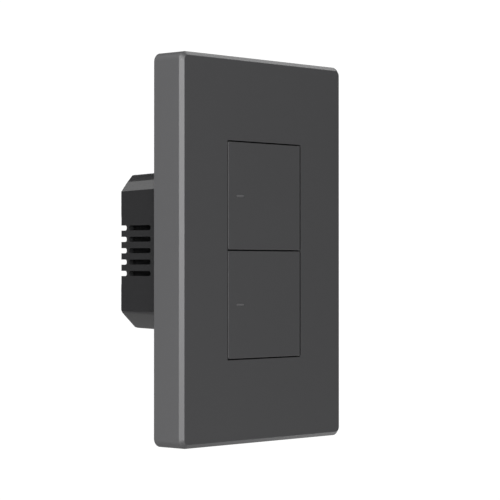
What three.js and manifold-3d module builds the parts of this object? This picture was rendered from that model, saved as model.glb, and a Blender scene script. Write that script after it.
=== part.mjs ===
// A two-key dimmer wall switch: front plate, two press keys on a key frame, pressed steel
// mounting frame, and a dimmer module with two circuit boards and four box-clamp terminals.
// Millimetres. +X is right, +Y goes into the wall, +Z is up. The origin is at the middle of
// the plate, on the surface of the wall.
import * as THREE from 'three';
import { mergeVertices } from 'three/addons/utils/BufferGeometryUtils.js';
import Module from 'manifold-3d';

const wasm = await Module();
wasm.setup();

// Front plate
const plateWidth = 74.5;
const plateHeight = 120;
const plateDepth = 12;
const plateCorner = 2.8;
const plateChamfer = 1.2;
const plateWall = 1.8;
const plateFace = 2;
const plateBackEdge = 0.3;

// Keys and the window they fill
const windowWidth = 34.2;
const windowHeight = 67.7;
const keyGap = 0.3;
const keyFace = 1.6;
const keySkirt = 0.9;
const keySkirtBack = -7.8;
const keyEdge = 0.25;
const collarWall = 1.2;
const collarBack = -8.2;

// Key pivots, on an upright axis near the right edge of each key
const pivotX = 13.8;
const pivotY = -8.6;
const pinRadius = 0.7;
const clipBore = 1;
const clipOuter = 1.6;
const clipWidth = 2.8;
const clipReach = 9;

// What sits behind each key, across from the pivots
const lensX = -11.3;
const lensWidth = 3.3;
const lensHeight = 0.7;
const springX = -6.5;
const springRadius = 1.6;
const springWire = 0.45;
const latchX = -14.1;
const latchReach = 9;
const ledgeThickness = 0.4;

// Key frame
const frameHalfWidth = 28;
const frameHalfHeight = 37;
const frameFront = -6.2;
const frameThickness = 1.4;
const frameWall = 1.6;

// Pressed steel mounting frame
const steel = 1.2;
const steelFront = -3.2;
const steelHalfWidth = 33.2;
const steelHalfHeight = 52;
const boxScrewSpacing = 83.3;
const hookX = 28;
const hookZ = 44;
const hookWidth = 6;
const hookThickness = 1.2;

// Module housing
const housingHalfWidth = 25;
const housingTop = 25.2;
const housingBottom = -25.5;
const housingDraft = 0.033;
const housingFront = -2.4;
const housingRear = 27.3;
const housingWall = 1.8;
const ventRows = 5;
const ventPitch = 3.6;
const ventHeight = 1.6;
const pillarOffset = 20.4;

// Circuit boards
const boardThickness = 1.6;
const logicBoardFront = -4.3;
const powerBoardFront = 10.1;

// Terminals
const terminalPitch = 9;
const terminalZ = -16.4;
const terminalCount = 4;
const clampOpen = 13.4;

// Space kept between separate pieces that meet
const clear = 0.3;
// How far a cutter runs past the surface that it opens
const past = 1;

const keyWidth = windowWidth - 2 * keyGap;
const keyHeight = (windowHeight - 3 * keyGap) / 2;
const keyZ = (keyHeight + keyGap) / 2;
const logicBoardBack = logicBoardFront + boardThickness;
const powerBoardBack = powerBoardFront + boardThickness;

// ---------------------------------------------------------------- shaping helpers

function toSolid(geometry) {
  const bare = geometry.clone();
  bare.deleteAttribute('normal');
  bare.deleteAttribute('uv');
  const merged = mergeVertices(bare, 1e-4);
  const corners = merged.index.array;
  const kept = [];
  for (let i = 0; i < corners.length; i += 3) {
    const [a, b, c] = [corners[i], corners[i + 1], corners[i + 2]];
    if (a !== b && b !== c && c !== a) kept.push(a, b, c);
  }
  const vertProperties = new Float32Array(merged.attributes.position.array);
  return new wasm.Manifold(new wasm.Mesh({ numProp: 3, vertProperties, triVerts: new Uint32Array(kept) }));
}

function toGeometry(solid) {
  const { vertProperties, triVerts } = solid.getMesh();
  const geometry = new THREE.BufferGeometry();
  geometry.setAttribute('position', new THREE.BufferAttribute(new Float32Array(vertProperties), 3));
  geometry.setIndex(new THREE.BufferAttribute(new Uint32Array(triVerts), 1));
  geometry.computeVertexNormals();
  return geometry;
}

function join(first, ...others) {
  return others.reduce((whole, piece) => whole.add(piece), first);
}

function cut(whole, ...cutters) {
  return cutters.reduce((rest, cutter) => rest.subtract(cutter), whole);
}

// A block between two limits on each axis
function block([x0, x1], [y0, y1], [z0, z1]) {
  const geometry = new THREE.BoxGeometry(x1 - x0, y1 - y0, z1 - z0);
  geometry.translate((x0 + x1) / 2, (y0 + y1) / 2, (z0 + z1) / 2);
  return toSolid(geometry);
}

// A block given by its middle in X and Z, its size in X and Z, and its limits in Y
function post(x, z, width, height, y0, y1) {
  return block([x - width / 2, x + width / 2], [y0, y1], [z - height / 2, z + height / 2]);
}

// A round bar along Y
function rodY(x, z, radius, y0, y1, sides = 16) {
  const geometry = new THREE.CylinderGeometry(radius, radius, y1 - y0, sides);
  geometry.translate(x, (y0 + y1) / 2, z);
  return toSolid(geometry);
}

// A round bar along Z
function rodZ(x, y, radius, z0, z1, sides = 16) {
  const geometry = new THREE.CylinderGeometry(radius, radius, z1 - z0, sides);
  geometry.rotateX(Math.PI / 2);
  geometry.translate(x, y, (z0 + z1) / 2);
  return toSolid(geometry);
}

// A turned piece on the Y axis, from a profile of [radius, y] points that starts and ends on it
function turned(profile, sides = 16) {
  const points = profile.map(([radius, y]) => new THREE.Vector2(radius, y));
  return toSolid(new THREE.LatheGeometry(points, sides));
}

// A closed skin over outlines in the XZ plane, one at each Y, all with as many points
function loft(sections) {
  const count = sections[0].outline.length;
  const positions = sections.flatMap(({ y, outline }) => outline.flatMap((p) => [p.x, y, p.y]));
  const faces = [];
  for (let ring = 0; ring < sections.length - 1; ring += 1) {
    for (let i = 0; i < count; i += 1) {
      const a = ring * count + i;
      const b = ring * count + ((i + 1) % count);
      faces.push(a, a + count, b, b, a + count, b + count);
    }
  }
  const last = (sections.length - 1) * count;
  for (const [a, b, c] of THREE.ShapeUtils.triangulateShape(sections[0].outline, [])) {
    faces.push(a, b, c);
  }
  for (const [a, b, c] of THREE.ShapeUtils.triangulateShape(sections.at(-1).outline, [])) {
    faces.push(last + a, last + c, last + b);
  }
  const geometry = new THREE.BufferGeometry();
  geometry.setAttribute('position', new THREE.Float32BufferAttribute(positions, 3));
  geometry.setIndex(faces);
  return toSolid(geometry);
}

// A rectangle with round corners, centred, counter-clockwise
function roundedRectangle(halfWidth, halfHeight, radius, steps = 4) {
  const points = [];
  const corners = [[1, -1], [1, 1], [-1, 1], [-1, -1]];
  corners.forEach(([sideX, sideZ], index) => {
    const centre = new THREE.Vector2(sideX * (halfWidth - radius), sideZ * (halfHeight - radius));
    for (let step = 0; step <= steps; step += 1) {
      const angle = ((index - 1) * Math.PI) / 2 + (step / steps) * (Math.PI / 2);
      points.push(new THREE.Vector2(Math.cos(angle), Math.sin(angle)).multiplyScalar(radius).add(centre));
    }
  });
  return points;
}

// ---------------------------------------------------------------- front plate and keys

function frontPlate() {
  const outline = (inset) => roundedRectangle(
    plateWidth / 2 - inset, plateHeight / 2 - inset, plateCorner - inset * 0.6);
  const shell = loft([
    { y: -plateDepth, outline: outline(plateChamfer) },
    { y: -plateDepth + plateChamfer, outline: outline(0) },
    { y: -plateBackEdge, outline: outline(0) },
    { y: 0, outline: outline(plateBackEdge) },
  ]);
  const hollow = loft([
    { y: -plateDepth + plateFace, outline: outline(plateWall) },
    { y: past, outline: outline(plateWall) },
  ]);
  const faceBack = -plateDepth + plateFace;
  const collar = post(0, 0, windowWidth + 2 * collarWall, windowHeight + 2 * collarWall,
    faceBack - clear, collarBack);
  const opening = post(0, 0, windowWidth, windowHeight, -plateDepth - past, collarBack + past);
  let plate = cut(join(cut(shell, hollow), collar), opening);
  for (const sideX of [-1, 1]) {
    for (const sideZ of [-1, 1]) {
      plate = join(plate, plateHook(sideX, sideZ * hookZ, faceBack));
    }
  }
  return plate;
}

// A snap hook that reaches through the steel frame and catches behind it
function plateHook(side, z, faceBack) {
  const nibDepth = 0.8;
  const nibBack = steelFront + steel + clear + nibDepth;
  const inner = side * hookX;
  const outer = side * (hookX + hookThickness);
  const nibOuter = side * (hookX + hookThickness + nibDepth);
  const halfWidth = hookWidth / 2;
  const sorted = (a, b) => [Math.min(a, b), Math.max(a, b)];
  return join(
    block(sorted(inner, outer), [faceBack - clear, nibBack], [z - halfWidth, z + halfWidth]),
    block(sorted(inner, nibOuter), [nibBack - nibDepth, nibBack], [z - halfWidth, z + halfWidth]));
}

// One key about its own middle height: cap, pivot pins, pusher, spring peg, latch ledge
function key() {
  const halfWidth = keyWidth / 2;
  const halfHeight = keyHeight / 2;
  const inside = -plateDepth + keyFace;
  const outline = (inset) => roundedRectangle(halfWidth - inset, halfHeight - inset, 0.5, 2);
  const cap = loft([
    { y: -plateDepth, outline: outline(keyEdge) },
    { y: -plateDepth + keyEdge, outline: outline(0) },
    { y: keySkirtBack, outline: outline(0) },
  ]);
  const hollow = post(0, 0, keyWidth - 2 * keySkirt, keyHeight - 2 * keySkirt, inside, keySkirtBack + past);
  const slot = post(lensX, 0, lensWidth + 0.2, lensHeight + 0.2, -plateDepth - past, inside + past);
  const root = inside - clear;
  let whole = cut(cap, hollow, slot);
  for (const z of [-clipReach, clipReach]) {
    whole = join(whole, pivotPin(z, root));
  }
  const pusher = post(0, 0, 3, 3, root, pivotY - 0.1);
  const springPeg = rodY(springX, 0, 0.9, root, inside + 1.1, 12);
  const ledge = post(
    -halfWidth + keySkirt + 0.25, 0, 1.1, 2 * latchReach + 6, keySkirtBack - ledgeThickness, keySkirtBack);
  const stiffeners = [-6, 6].map((z) => post(0.5, z, 20, 0.9, root, inside + 1));
  return join(whole, pusher, springPeg, ledge, ...stiffeners);
}

// A short pin between two ribs
function pivotPin(z, root) {
  const ribThickness = 1;
  const ribHalf = clipWidth / 2 + clear;
  const ribs = [-1, 1].map((side) => post(
    pivotX, z + side * (ribHalf + ribThickness / 2), 2.4, ribThickness, root, pivotY + pinRadius));
  return join(
    rodZ(pivotX, pivotY, pinRadius, z - ribHalf - clear, z + ribHalf + clear, 12), ...ribs);
}

// Light pipe: the mark at the front, a flange behind the key, and a stem towards the light
function indicatorLens() {
  const inside = -plateDepth + keyFace;
  return join(
    post(lensX, 0, lensWidth, lensHeight, -plateDepth, inside + 2.4),
    post(lensX, 0, lensWidth + 1.4, lensHeight + 1.8, inside + clear, inside + clear + 0.7));
}

function keySpring() {
  const turns = 3;
  const inside = -plateDepth + keyFace;
  const front = inside + clear + springWire / 2;
  const back = frameFront - clear - springWire / 2;
  const points = [];
  const stepsPerTurn = 10;
  for (let i = 0; i <= turns * stepsPerTurn; i += 1) {
    const part = i / (turns * stepsPerTurn);
    const angle = part * turns * 2 * Math.PI;
    points.push(new THREE.Vector3(
      springX + springRadius * Math.cos(angle),
      front + (back - front) * part,
      springRadius * Math.sin(angle)));
  }
  const wire = new THREE.Shape().absarc(0, 0, springWire / 2, 0, 2 * Math.PI);
  return toSolid(new THREE.ExtrudeGeometry(wire, {
    extrudePath: new THREE.CatmullRomCurve3(points),
    steps: turns * stepsPerTurn,
    curveSegments: 3,
  }));
}

// ---------------------------------------------------------------- key frame

// A snap clip that a pivot pin turns in, open to the front
function pivotClip(z) {
  const ring = rodZ(pivotX, pivotY, clipOuter, z - clipWidth / 2, z + clipWidth / 2);
  const stem = post(pivotX, z, 2.6, clipWidth, pivotY + 0.8, frameFront + clear);
  const bore = rodZ(pivotX, pivotY, clipBore, z - clipWidth, z + clipWidth);
  const mouth = post(pivotX, z, 1.2, 2 * clipWidth, pivotY - 3, pivotY);
  const frontLimit = post(pivotX, z, 2 * clipOuter + past, 2 * clipWidth, pivotY - 3, pivotY - 1.1);
  return cut(join(ring, stem), bore, mouth, frontLimit);
}

// A fixed hook that keeps the free edge of a key from rising
function keyLatch(z) {
  const nibBack = keySkirtBack - ledgeThickness - clear;
  const nibFront = nibBack - 0.65;
  return join(
    post(latchX, z, 1, 4, nibFront, frameFront + clear),
    post(latchX - 0.75, z, 1.5, 4, nibFront, nibBack));
}

function keyFrame() {
  const back = frameFront + frameThickness;
  const panel = loft([
    { y: frameFront, outline: roundedRectangle(frameHalfWidth, frameHalfHeight, 3, 3) },
    { y: steelFront - clear, outline: roundedRectangle(frameHalfWidth, frameHalfHeight, 3, 3) },
  ]);
  const under = post(0, 0, 2 * (frameHalfWidth - frameWall), 2 * (frameHalfHeight - frameWall), back, 0);
  let frame = cut(panel, under);
  for (const side of [-1, 1]) {
    const z = side * keyZ;
    frame = join(
      frame,
      pivotClip(z - clipReach),
      pivotClip(z + clipReach),
      keyLatch(z - latchReach),
      keyLatch(z + latchReach),
      rodY(springX, z, 0.9, frameFront - 1, frameFront + clear, 12));
    const switchOpening = post(0, z, 7, 7, frameFront - past, back + past);
    const lightOpening = post(lensX, z, 5.4, 2.4, frameFront - past, back + past);
    frame = cut(frame, switchOpening, lightOpening);
    for (const sideX of [-1, 1]) {
      const screwHole = rodY(sideX * pillarOffset, side * pillarOffset, 1.5, frameFront - past, 0, 12);
      const lightening = post(sideX * 22.7, side * 32, 7, 5, frameFront - past, back + past);
      frame = cut(frame, screwHole, lightening);
    }
  }
  return frame;
}

// ---------------------------------------------------------------- steel frame and screws

function mountingFrame() {
  const outline = (inset) => roundedRectangle(steelHalfWidth - inset, steelHalfHeight - inset, 3 - inset / 2);
  const pan = loft([{ y: steelFront, outline: outline(0) }, { y: 0, outline: outline(0) }]);
  const under = loft([
    { y: steelFront + steel, outline: outline(steel) },
    { y: past, outline: outline(steel) },
  ]);
  const opening = block(
    [-housingHalfWidth - 0.5, housingHalfWidth + 0.5], [steelFront - past, 0], [-26.1, 25.8]);
  let frame = cut(pan, under, opening);
  for (const side of [-1, 1]) {
    const z = side * boxScrewSpacing / 2;
    const slotHalf = 2.2;
    const screwSlot = join(
      post(0, z, 5, 2 * slotHalf, steelFront - past, 0),
      rodY(-2.5, z, slotHalf, steelFront - past, 0),
      rodY(2.5, z, slotHalf, steelFront - past, 0));
    frame = cut(frame, screwSlot);
    for (const sideX of [-1, 1]) {
      const hookSlot = post(
        sideX * (hookX + hookThickness / 2 - 0.1), side * hookZ, 2, hookWidth + 1, steelFront - past, 0);
      const anchorHole = rodY(sideX * 18, side * boxScrewSpacing / 2, 2.2, steelFront - past, 0);
      frame = cut(frame, hookSlot, anchorHole);
    }
  }
  return frame;
}

// A pan-head screw along Y with its head to the front, cross recess, and a plain pointed shank
function panScrew(headRadius, headHeight, shankRadius, shankLength, sides) {
  const body = turned([
    [0, -headHeight],
    [headRadius * 0.7, -headHeight],
    [headRadius, -headHeight * 0.4],
    [headRadius, 0],
    [shankRadius, 0],
    [shankRadius, shankLength - shankRadius],
    [shankRadius * 0.4, shankLength],
    [0, shankLength],
  ], sides);
  const arm = headRadius * 1.1;
  const width = headRadius * 0.28;
  const floor = -headHeight * 0.4;
  return cut(
    body,
    post(0, 0, arm, width, -headHeight - past, floor),
    post(0, 0, width, arm, -headHeight - past, floor));
}

// ---------------------------------------------------------------- module housing

// Each edge of a convex counter-clockwise outline moved inwards, and met with the next
function insetOutline(points, inset) {
  return points.map((point, index) => {
    const before = point.clone().sub(points.at(index - 1)).normalize();
    const after = points[(index + 1) % points.length].clone().sub(point).normalize();
    const inward = new THREE.Vector2(-before.y - after.y, before.x + after.x);
    return point.clone().add(inward.multiplyScalar(2 * inset / inward.lengthSq()));
  });
}

// The outline at a distance into the wall, moved inwards by an inset. Each corner is cut off
// straight, in two facets at the top and one at the bottom, with a short facet at each end.
function housingOutline(y, inset) {
  const top = housingTop - housingDraft * y;
  const bottom = housingBottom + housingDraft * y;
  const side = housingHalfWidth;
  const right = [
    [17.8, bottom], [18.9, bottom + 0.25], [24.4, bottom + 4.85], [side, bottom + 5.8],
    [side, top - 5.5], [22.35, top - 2.4], [20.15, top - 0.2], [19.4, top],
  ];
  const left = right.map(([x, z]) => [-x, z]).reverse();
  return insetOutline([...right, ...left].map(([x, z]) => new THREE.Vector2(x, z)), inset);
}

function rearHousing() {
  const rearEdge = 0.5;
  const floor = housingRear - housingWall;
  const shell = loft([
    { y: housingFront, outline: housingOutline(housingFront, 0) },
    { y: housingRear - rearEdge, outline: housingOutline(housingRear, 0) },
    { y: housingRear, outline: housingOutline(housingRear, rearEdge * 0.8) },
  ]);
  const hollow = loft([
    { y: housingFront - past, outline: housingOutline(housingFront, housingWall) },
    { y: floor, outline: housingOutline(floor, housingWall) },
  ]);
  let tub = cut(shell, hollow);
  for (const sideX of [-1, 1]) {
    tub = join(tub, block([Math.min(sideX * 24, sideX * 27.4), Math.max(sideX * 24, sideX * 27.4)],
      [steelFront + steel + clear, steelFront + steel + clear + 1.5], [-8, 8]));
    for (const sideZ of [-1, 1]) {
      tub = join(tub, rodY(sideX * pillarOffset, sideZ * pillarOffset, 2.4, housingFront, powerBoardFront - clear, 12));
    }
    tub = join(tub, block([Math.min(sideX * 21.6, sideX * 24), Math.max(sideX * 21.6, sideX * 24)],
      [powerBoardBack + clear, 24], [13, 15]));
  }
  return cut(tub, ...pilotBores(), ...vents(), rearRecess(), ...terminalAccess());
}

function pilotBores() {
  return [[-1, -1], [-1, 1], [1, -1], [1, 1]].map(([sideX, sideZ]) => rodY(
    sideX * pillarOffset, sideZ * pillarOffset, 1.4, housingFront - past, 8.4, 12));
}

// Rows of slots in both side walls, and short open notches round the rear edges
function vents() {
  const cutters = [];
  for (const side of [-1, 1]) {
    const outside = side * (housingHalfWidth + past);
    const wallInside = side * (housingHalfWidth - housingWall - 0.5);
    const notchInside = side * (housingHalfWidth - 4);
    for (let row = 0; row < ventRows; row += 1) {
      const z = (row - (ventRows - 1) / 2) * ventPitch;
      const height = [z - ventHeight / 2, z + ventHeight / 2];
      const wide = [Math.min(outside, wallInside), Math.max(outside, wallInside)];
      const round = [Math.min(outside, notchInside), Math.max(outside, notchInside)];
      cutters.push(block(wide, [13.65, 23.25], height));
      cutters.push(block(round, [24.4, housingRear + past], height));
    }
  }
  return cutters;
}

// Shallow step across the middle of the rear face, with sloping ends
function rearRecess() {
  const depth = 0.45;
  const flatHalf = 10.5;
  const slopedHalf = 13;
  const wide = housingHalfWidth + past;
  const outline = (half) => roundedRectangle(wide, half, 0.2, 1);
  const slope = (slopedHalf - flatHalf) / depth;
  return loft([
    { y: housingRear - depth, outline: outline(flatHalf) },
    { y: housingRear + depth, outline: outline(flatHalf + 2 * depth * slope) },
  ]);
}

// Round holes over the terminal screws, and the wire slot in the bottom wall
function terminalAccess() {
  const holes = terminalPlaces().map((x) => rodY(x, terminalZ, 3, 24.8, housingRear + past));
  return [...holes, block([-17, 17], [13.8, 19.4], [-27, -21.8])];
}

function terminalPlaces() {
  return Array.from({ length: terminalCount }, (_, i) => (i - (terminalCount - 1) / 2) * terminalPitch);
}

// ---------------------------------------------------------------- boards and what they carry

function logicBoard() {
  const board = post(0, 0, 45, 46, logicBoardFront, logicBoardBack);
  const holes = [[-1, -1], [-1, 1], [1, -1], [1, 1]].map(([sideX, sideZ]) => rodY(
    sideX * pillarOffset, sideZ * pillarOffset, 1.5, logicBoardFront - past, logicBoardBack + past, 12));
  return cut(board, ...holes);
}

function powerBoard() {
  const board = post(0, 0, 45, 44, powerBoardFront, powerBoardBack);
  const notches = [[-1, -1], [-1, 1], [1, -1], [1, 1]].map(([sideX, sideZ]) => post(
    sideX * 21.5, sideZ * 21.5, 8.4, 8.4, powerBoardFront - past, powerBoardBack + past));
  return cut(board, ...notches);
}

// Body of a push switch, with the well that its plunger slides in
function tactSwitch() {
  const back = logicBoardFront - clear;
  const body = post(0, 0, 6, 6, back - 2.4, back);
  const well = rodY(0, 0, 1.9, back - 4, back - 0.5);
  return cut(body, well);
}

function plunger() {
  const tip = pivotY - 0.1 + clear;
  return turned([[0, tip], [1.3, tip], [1.6, tip + 0.3], [1.6, -6.1], [0, -6.1]]);
}

function led() {
  const back = logicBoardFront - clear;
  return join(
    post(lensX, 0, 3, 1.6, back - 0.5, back),
    post(lensX, 0, 2.2, 1.3, back - 0.9, back - 0.3));
}

function radioModule() {
  const front = logicBoardBack + clear;
  return join(
    post(0, 0, 18, 16, front, front + 0.8),
    post(0, -1, 15, 12, front + 0.5, front + 2.8));
}

function headerPlug() {
  const front = logicBoardBack + clear;
  return join(post(0, 19, 12.7, 2.5, front, 0.6), post(0, 19, 10, 1, 0.4, 1.1));
}

function headerSocket() {
  const back = powerBoardFront - clear;
  return cut(
    post(0, 19, 12.7, 3, 1.4, back),
    post(0, 19, 10.6, 1.4, 1.4 - past, 3.6));
}

function transformer() {
  const back = powerBoardFront - clear;
  const base = post(0, 0, 13, 12.6, back - 1.6, back);
  const winding = rodY(0, 0, 4.6, back - 8.4, back - 1, 16);
  const core = cut(
    post(0, 0, 12.4, 5, back - 9, back - 1.2),
    block([-4.9, -2], [back - 7.4, back - 2.8], [-4, 4]),
    block([2, 4.9], [back - 7.4, back - 2.8], [-4, 4]));
  return join(base, winding, core);
}

function filmCapacitor() {
  const back = powerBoardFront - clear;
  return loft([
    { y: back - 9, outline: roundedRectangle(6.2, 2.7, 0.6, 1) },
    { y: back - 8.6, outline: roundedRectangle(6.5, 3, 0.6, 1) },
    { y: back, outline: roundedRectangle(6.5, 3, 0.6, 1) },
  ]);
}

function electrolyticCapacitor() {
  const back = powerBoardFront - clear;
  return turned([
    [0, back - 9], [3.2, back - 9], [3.9, back - 8.6], [4, back - 8.2],
    [4, back - 1.6], [3.7, back - 1.2], [4, back - 0.8], [4, back], [0, back],
  ]);
}

function choke() {
  const back = powerBoardFront - clear;
  return turned([
    [0, back - 8], [4, back - 8], [4, back - 7], [3.3, back - 6.6],
    [3.3, back - 1.4], [4, back - 1], [4, back], [0, back],
  ]);
}

function fuse() {
  const back = powerBoardFront - clear;
  return turned([
    [0, back - 8], [1.9, back - 8], [1.9, back - 6], [1.6, back - 6],
    [1.6, back - 2], [1.9, back - 2], [1.9, back], [0, back],
  ], 12);
}

// A disc on edge, standing on two legs
function varistor() {
  const back = powerBoardFront - clear;
  const middle = back - 5;
  return join(
    rodZ(0, middle, 4, -1.7, 1.7, 20),
    post(-2.5, 0, 0.9, 0.9, middle, back),
    post(2.5, 0, 0.9, 0.9, middle, back));
}

// Aluminium spreader with fins towards the rear, on two feet
function heatPlate() {
  const front = 13.6;
  const back = front + 1.6;
  const half = 17;
  const fins = [0.6 - half, 0, half - 0.6].map((x) => post(x, 7, 1.2, 26, front, back + 5));
  const feet = [-14, 14].map((x) => post(x, 16, 3, 3, powerBoardBack + clear, back));
  return join(post(0, 7, 2 * half, 26, front, back), ...fins, ...feet);
}

// Flat power package: moulded body, metal tab and three leads that bend to the board
function triac() {
  const front = 13.6 + 1.6 + clear;
  const tab = cut(post(0, 5, 10, 15.5, front, front + 1.3), rodY(0, 10, 1.8, front - past, front + 3, 12));
  const body = post(0, 1.5, 10, 9, front, front + 4.4);
  return join(tab, body);
}

// ---------------------------------------------------------------- terminals

const chamberBack = 21.5;
const blockBack = 24.6;
const contactFront = 17;
const contactBack = 17.9;

function terminalBlock() {
  const front = powerBoardBack + clear;
  let body = block([-17.9, 17.9], [front, blockBack], [-22.2, -10.8]);
  for (const x of terminalPlaces()) {
    body = cut(
      body,
      block([x - 3.3, x + 3.3], [13, chamberBack], [-22.2 - past, -12.4]),
      rodY(x, terminalZ, 1.7, chamberBack - past, blockBack),
      rodY(x, terminalZ, 2.9, chamberBack + 0.6, blockBack + past),
      block([x - 2, x + 2], [contactFront - 0.35, contactBack + 0.35], [-13, -10]));
  }
  return body;
}

function terminalScrew() {
  const head = 22.4;
  const body = turned([
    [0, contactBack + clear], [1.1, contactBack + clear], [1.4, contactBack + 0.7], [1.4, head],
    [2.5, head], [2.5, head + 1.5], [2.2, head + 1.9], [0, head + 1.9],
  ]);
  return cut(body, post(0, 0, 6, 0.8, head + 0.9, head + 3));
}

// A square box with a hole for the screw, which lifts the wire against the contact
function wireClamp() {
  const wall = 0.9;
  const depth = 5.8;
  const outer = block([-2.9, 2.9], [clampOpen, clampOpen + depth], [-3.6, 3.6]);
  const inner = block([-2, 2], [clampOpen + wall, clampOpen + depth - wall], [-5, 5]);
  return cut(outer, inner, rodY(0, 0, 1.7, clampOpen + depth / 2, clampOpen + depth + past, 12));
}

function terminalContact() {
  const heelTop = -9.6 - terminalZ;
  return join(
    block([-1.6, 1.6], [contactFront, contactBack], [-3.2, heelTop]),
    block([-1.6, 1.6], [powerBoardBack + clear, contactBack], [heelTop - 0.9, heelTop]));
}

// ---------------------------------------------------------------- materials and assembly

function finish(colour, roughness, metalness = 0) {
  return new THREE.MeshStandardMaterial({ color: colour, roughness, metalness });
}

const finishes = {
  plate: finish(0x49494b, 0.5),
  black: finish(0x1c1c1d, 0.42),
  carrier: finish(0x2a2a2c, 0.6),
  lens: finish(0x6a6a6c, 0.35),
  steel: finish(0xa9adb0, 0.4, 1),
  spring: finish(0xb5b8ba, 0.3, 1),
  brass: finish(0xb59a55, 0.35, 1),
  aluminium: finish(0xb4b7ba, 0.45, 1),
  board: finish(0x1d4a34, 0.5),
  moulded: finish(0x18191b, 0.5),
  cream: finish(0xd8d2bf, 0.5),
  ledBody: finish(0xe8e6dc, 0.4),
  film: finish(0x8c2f24, 0.4),
  sleeve: finish(0x23303c, 0.35),
  disc: finish(0x2c4f8c, 0.45),
  green: finish(0x2f6a48, 0.5),
};

const group = new THREE.Group();

function place(name, solid, material, x = 0, y = 0, z = 0) {
  const mesh = new THREE.Mesh(toGeometry(solid), material);
  mesh.name = name;
  mesh.position.set(x, y, z);
  group.add(mesh);
}

place('front_plate', frontPlate(), finishes.plate);
for (const [level, z] of [['upper', keyZ], ['lower', -keyZ]]) {
  place(`${level}_key`, key(), finishes.plate, 0, 0, z);
  place(`${level}_indicator_lens`, indicatorLens(), finishes.lens, 0, 0, z);
  place(`${level}_key_spring`, keySpring(), finishes.spring, 0, 0, z);
  place(`${level}_tact_switch`, tactSwitch(), finishes.moulded, 0, 0, z);
  place(`${level}_plunger`, plunger(), finishes.cream, 0, 0, z);
  place(`${level}_led`, led(), finishes.ledBody, 0, 0, z);
}
place('key_frame', keyFrame(), finishes.carrier);

place('mounting_frame', mountingFrame(), finishes.steel);
for (const [level, side] of [['upper', 1], ['lower', -1]]) {
  place(`${level}_mounting_screw`, panScrew(3.6, 2.1, 1.75, 21, 20), finishes.steel,
    0, steelFront - clear, side * boxScrewSpacing / 2);
}
[[-1, 1], [1, 1], [-1, -1], [1, -1]].forEach(([sideX, sideZ], index) => {
  place(`housing_screw_${index + 1}`, panScrew(2.1, 1.4, 1.1, 13, 12), finishes.steel,
    sideX * pillarOffset, frameFront - clear, sideZ * pillarOffset);
});

place('rear_housing', rearHousing(), finishes.black);
place('logic_board', logicBoard(), finishes.board);
place('radio_module', radioModule(), finishes.steel);
place('header_plug', headerPlug(), finishes.moulded);
place('header_socket', headerSocket(), finishes.moulded);
place('power_board', powerBoard(), finishes.board);
place('transformer', transformer(), finishes.moulded, -11, 0, 6);
place('film_capacitor', filmCapacitor(), finishes.film, 9, 0, 11);
place('electrolytic_capacitor', electrolyticCapacitor(), finishes.sleeve, -13.5, 0, -9);
place('choke', choke(), finishes.moulded, -3, 0, -11);
place('fuse', fuse(), finishes.cream, 5, 0, -11);
place('varistor', varistor(), finishes.disc, 14, 0, -11);
place('heat_plate', heatPlate(), finishes.aluminium);
place('upper_triac', triac(), finishes.moulded, -8, 0, 2);
place('lower_triac', triac(), finishes.moulded, 8, 0, 2);

place('terminal_block', terminalBlock(), finishes.green);
terminalPlaces().forEach((x, index) => {
  place(`terminal_contact_${index + 1}`, terminalContact(), finishes.brass, x, 0, terminalZ);
  place(`wire_clamp_${index + 1}`, wireClamp(), finishes.brass, x, 0, terminalZ);
  place(`terminal_screw_${index + 1}`, terminalScrew(), finishes.steel, x, 0, terminalZ);
});

export default group;
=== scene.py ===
import math

import bmesh
import bpy
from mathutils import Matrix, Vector


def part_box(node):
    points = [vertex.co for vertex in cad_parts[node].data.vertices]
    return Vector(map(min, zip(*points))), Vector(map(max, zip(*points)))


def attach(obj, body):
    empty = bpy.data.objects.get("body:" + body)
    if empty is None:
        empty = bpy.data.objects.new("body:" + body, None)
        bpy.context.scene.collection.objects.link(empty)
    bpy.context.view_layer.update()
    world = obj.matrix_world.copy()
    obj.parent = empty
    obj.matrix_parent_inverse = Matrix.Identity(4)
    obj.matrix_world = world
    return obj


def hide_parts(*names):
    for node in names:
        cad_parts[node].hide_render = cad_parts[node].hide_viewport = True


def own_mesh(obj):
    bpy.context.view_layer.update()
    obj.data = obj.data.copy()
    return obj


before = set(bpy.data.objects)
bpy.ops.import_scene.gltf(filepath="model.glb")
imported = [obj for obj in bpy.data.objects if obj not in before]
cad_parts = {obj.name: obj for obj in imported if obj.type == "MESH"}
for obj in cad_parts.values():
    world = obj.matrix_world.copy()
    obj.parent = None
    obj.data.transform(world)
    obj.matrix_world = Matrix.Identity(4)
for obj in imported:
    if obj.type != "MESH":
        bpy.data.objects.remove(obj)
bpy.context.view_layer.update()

mm = 0.001
weldGap = 1e-6  # points nearer than this, in metres, are one point
squarely = 0.9  # a normal with more of an axis than this looks along it


def deselectAll():
    if bpy.context.mode != "OBJECT":
        bpy.ops.object.mode_set(mode="OBJECT")
    bpy.ops.object.select_all(action="DESELECT")


def makeActive(piece):
    deselectAll()
    piece.select_set(True)
    bpy.context.view_layer.objects.active = piece


def settle(name):
    # the new primitive gets its name, and its place goes into its mesh
    piece = bpy.context.object
    piece.name = name
    piece.data.name = name
    bpy.ops.object.transform_apply(location=True, rotation=True, scale=True)
    return piece


def boxOf(node):
    low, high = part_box(node)
    return low / mm, high / mm


def addBlock(name, low, high):
    deselectAll()
    low, high = Vector(low), Vector(high)
    bpy.ops.mesh.primitive_cube_add(size=1, location=(low + high) / 2 * mm, scale=(high - low) * mm)
    return settle(name)


def addRod(name, x, z, radius, yFront, yBack, sides=64):
    deselectAll()
    bpy.ops.mesh.primitive_cylinder_add(
        vertices=sides, radius=radius * mm, depth=(yBack - yFront) * mm,
        location=(x * mm, (yFront + yBack) / 2 * mm, z * mm), rotation=(math.pi / 2, 0, 0))
    return settle(name)


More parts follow.
